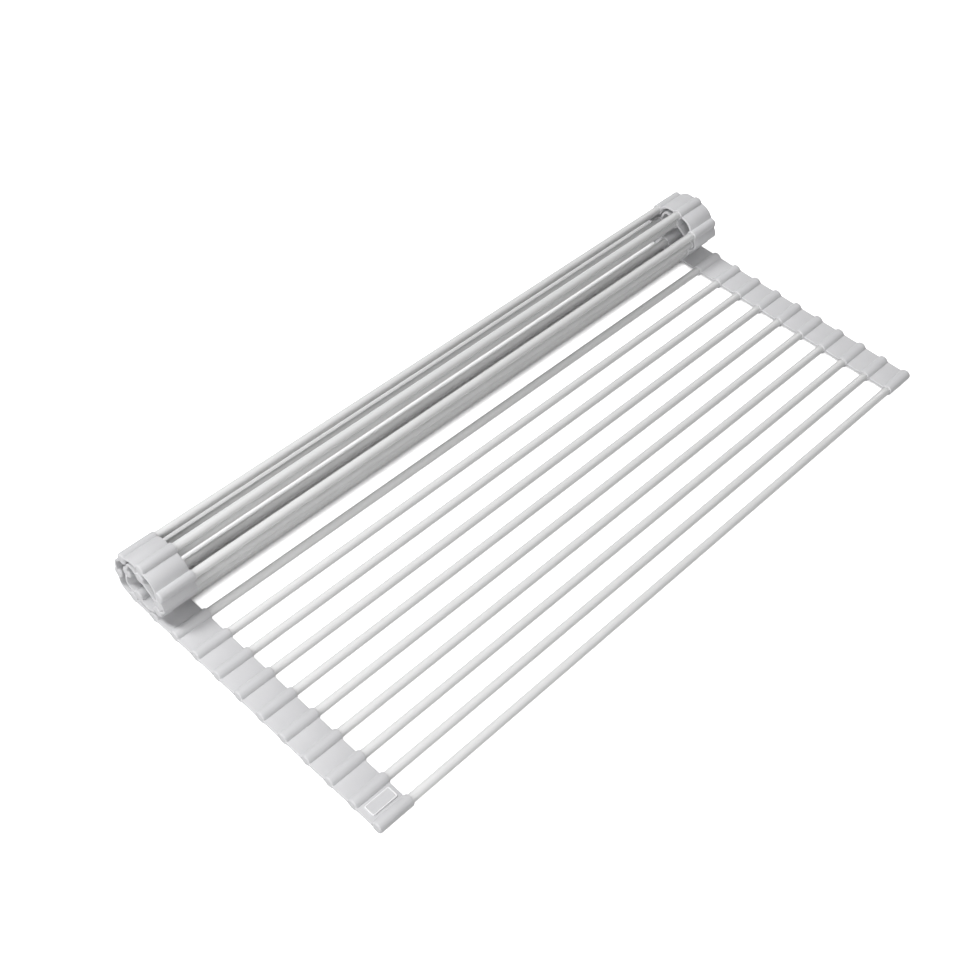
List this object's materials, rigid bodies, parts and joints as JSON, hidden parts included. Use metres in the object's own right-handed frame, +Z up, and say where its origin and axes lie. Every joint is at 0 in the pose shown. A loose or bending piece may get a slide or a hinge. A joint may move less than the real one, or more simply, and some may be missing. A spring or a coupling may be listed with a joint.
{
  "type": "roll up dish drying rack",
  "caption": "Roll up drying rack: round coated rods held at both ends in hinged silicone strips, part laid flat and part rolled.",
  "frame": {"origin": "centre of the footprint, on the surface that the rack stands on", "axes": "+X along the rods, +Y across the rods from the flat part toward the roll, +Z up"},
  "size_m": [0.519, 0.2296, 0.0443],
  "materials": {
    "silicone": "matte moulded silicone",
    "rod_coat": "fine matte coat over steel tube"
  },
  "bodies": {
    "link_10_11": {"rod_10": "rod_coat", "rod_11": "rod_coat", "left_strip_10_11": "silicone", "right_strip_10_11": "silicone"},
    "link_09": {"rod_09": "rod_coat", "left_strip_09": "silicone", "right_strip_09": "silicone"},
    "link_08": {"rod_08": "rod_coat", "left_strip_08": "silicone", "right_strip_08": "silicone"},
    "link_07": {"rod_07": "rod_coat", "left_strip_07": "silicone", "right_strip_07": "silicone"},
    "link_06": {"rod_06": "rod_coat", "left_strip_06": "silicone", "right_strip_06": "silicone"},
    "link_05": {"rod_05": "rod_coat", "left_strip_05": "silicone", "right_strip_05": "silicone"},
    "link_04": {"rod_04": "rod_coat", "left_strip_04": "silicone", "right_strip_04": "silicone"},
    "link_03": {"rod_03": "rod_coat", "left_strip_03": "silicone", "right_strip_03": "silicone"},
    "link_01_02": {"rod_01": "rod_coat", "rod_02": "rod_coat", "left_strip_01_02": "silicone", "right_strip_01_02": "silicone"},
    "link_12": {"rod_12": "rod_coat", "left_strip_12": "silicone", "right_strip_12": "silicone"},
    "link_13": {"rod_13": "rod_coat", "left_strip_13": "silicone", "right_strip_13": "silicone"},
    "link_14": {"rod_14": "rod_coat", "left_strip_14": "silicone", "right_strip_14": "silicone"},
    "link_15": {"rod_15": "rod_coat", "left_strip_15": "silicone", "right_strip_15": "silicone"},
    "link_16": {"rod_16": "rod_coat", "left_strip_16": "silicone", "right_strip_16": "silicone"},
    "link_17": {"rod_17": "rod_coat", "left_strip_17": "silicone", "right_strip_17": "silicone"},
    "link_18": {"rod_18": "rod_coat", "left_strip_18": "silicone", "right_strip_18": "silicone"},
    "link_19": {"rod_19": "rod_coat", "left_strip_19": "silicone", "right_strip_19": "silicone"},
    "link_20": {"rod_20": "rod_coat", "left_strip_20": "silicone", "right_strip_20": "silicone"},
    "link_21": {"rod_21": "rod_coat", "left_strip_21": "silicone", "right_strip_21": "silicone"}
  },
  "joints": [
    {"name": "roll_up", "type": "hinge", "parent": "link_10_11", "child": "link_09", "pos_m": [0, 0.0505, 0.00572], "axis": [-1, 0, 0], "range_deg": [0, 28]},
    {"name": "web_08_09", "type": "hinge", "parent": "link_09", "child": "link_08", "pos_m": [0, 0.0315, 0.00572], "axis": [-1, 0, 0], "range_deg": [0, 28]},
    {"name": "web_07_08", "type": "hinge", "parent": "link_08", "child": "link_07", "pos_m": [0, 0.0125, 0.00572], "axis": [-1, 0, 0], "range_deg": [0, 28]},
    {"name": "web_06_07", "type": "hinge", "parent": "link_07", "child": "link_06", "pos_m": [0, -0.0065, 0.00572], "axis": [-1, 0, 0], "range_deg": [0, 28]},
    {"name": "web_05_06", "type": "hinge", "parent": "link_06", "child": "link_05", "pos_m": [0, -0.0255, 0.00572], "axis": [-1, 0, 0], "range_deg": [0, 28]},
    {"name": "web_04_05", "type": "hinge", "parent": "link_05", "child": "link_04", "pos_m": [0, -0.0445, 0.00572], "axis": [-1, 0, 0], "range_deg": [0, 28]},
    {"name": "web_03_04", "type": "hinge", "parent": "link_04", "child": "link_03", "pos_m": [0, -0.0635, 0.00572], "axis": [-1, 0, 0], "range_deg": [0, 28]},
    {"name": "web_02_03", "type": "hinge", "parent": "link_03", "child": "link_01_02", "pos_m": [0, -0.0825, 0.00572], "axis": [-1, 0, 0], "range_deg": [0, 28]},
    {"name": "web_11_12", "type": "hinge", "parent": "link_10_11", "child": "link_12", "pos_m": [0, 0.0885, 0.00572], "axis": [-1, 0, 0], "range_deg": [0, 7.01]},
    {"name": "unroll", "type": "hinge", "parent": "link_12", "child": "link_13", "pos_m": [0, 0.10736, 0.00803], "axis": [-1, 0, 0], "range_deg": [0, 73]},
    {"name": "web_13_14", "type": "hinge", "parent": "link_13", "child": "link_14", "pos_m": [0, 0.11066, 0.02674], "axis": [-1, 0, 0], "range_deg": [0, 56.51]},
    {"name": "web_14_15", "type": "hinge", "parent": "link_14", "child": "link_15", "pos_m": [0, 0.09688, 0.03982], "axis": [-1, 0, 0], "range_deg": [0, 51.51]},
    {"name": "web_15_16", "type": "hinge", "parent": "link_15", "child": "link_16", "pos_m": [0, 0.07806, 0.03718], "axis": [-1, 0, 0], "range_deg": [0, 49.01]},
    {"name": "web_16_17", "type": "hinge", "parent": "link_16", "child": "link_17", "pos_m": [0, 0.06771, 0.02124], "axis": [-1, 0, 0], "range_deg": [0, 87.01]},
    {"name": "web_17_18", "type": "hinge", "parent": "link_17", "child": "link_18", "pos_m": [0, 0.08308, 0.01007], "axis": [-1, 0, 0], "range_deg": [0, 22.01]},
    {"name": "web_18_19", "type": "hinge", "parent": "link_18", "child": "link_19", "pos_m": [0, 0.10105, 0.01626], "axis": [-1, 0, 0], "range_deg": [0, 3.25]},
    {"name": "web_19_20", "type": "hinge", "parent": "link_19", "child": "link_20", "pos_m": [0, 0.09775, 0.03497], "axis": [-1, 0, 0], "range_deg": [0, 2.16]},
    {"name": "web_20_21", "type": "hinge", "parent": "link_20", "child": "link_21", "pos_m": [0, 0.0809, 0.0262], "axis": [-1, 0, 0], "range_deg": [0, 9.51]}
  ],
  "couplings": [
    {"joint": "web_08_09", "follows": "roll_up", "ratio": 1},
    {"joint": "web_07_08", "follows": "roll_up", "ratio": 1},
    {"joint": "web_06_07", "follows": "roll_up", "ratio": 1},
    {"joint": "web_05_06", "follows": "roll_up", "ratio": 1},
    {"joint": "web_04_05", "follows": "roll_up", "ratio": 1},
    {"joint": "web_03_04", "follows": "roll_up", "ratio": 1},
    {"joint": "web_02_03", "follows": "roll_up", "ratio": 1},
    {"joint": "web_11_12", "follows": "unroll", "ratio": 0.09589},
    {"joint": "web_13_14", "follows": "unroll", "ratio": 0.77397},
    {"joint": "web_14_15", "follows": "unroll", "ratio": 0.70548},
    {"joint": "web_15_16", "follows": "unroll", "ratio": 0.67123},
    {"joint": "web_16_17", "follows": "unroll", "ratio": 1.1918},
    {"joint": "web_17_18", "follows": "unroll", "ratio": 0.30137},
    {"joint": "web_18_19", "follows": "unroll", "ratio": 0.044384},
    {"joint": "web_19_20", "follows": "unroll", "ratio": 0.029452},
    {"joint": "web_20_21", "follows": "unroll", "ratio": 0.13014}
  ]
}
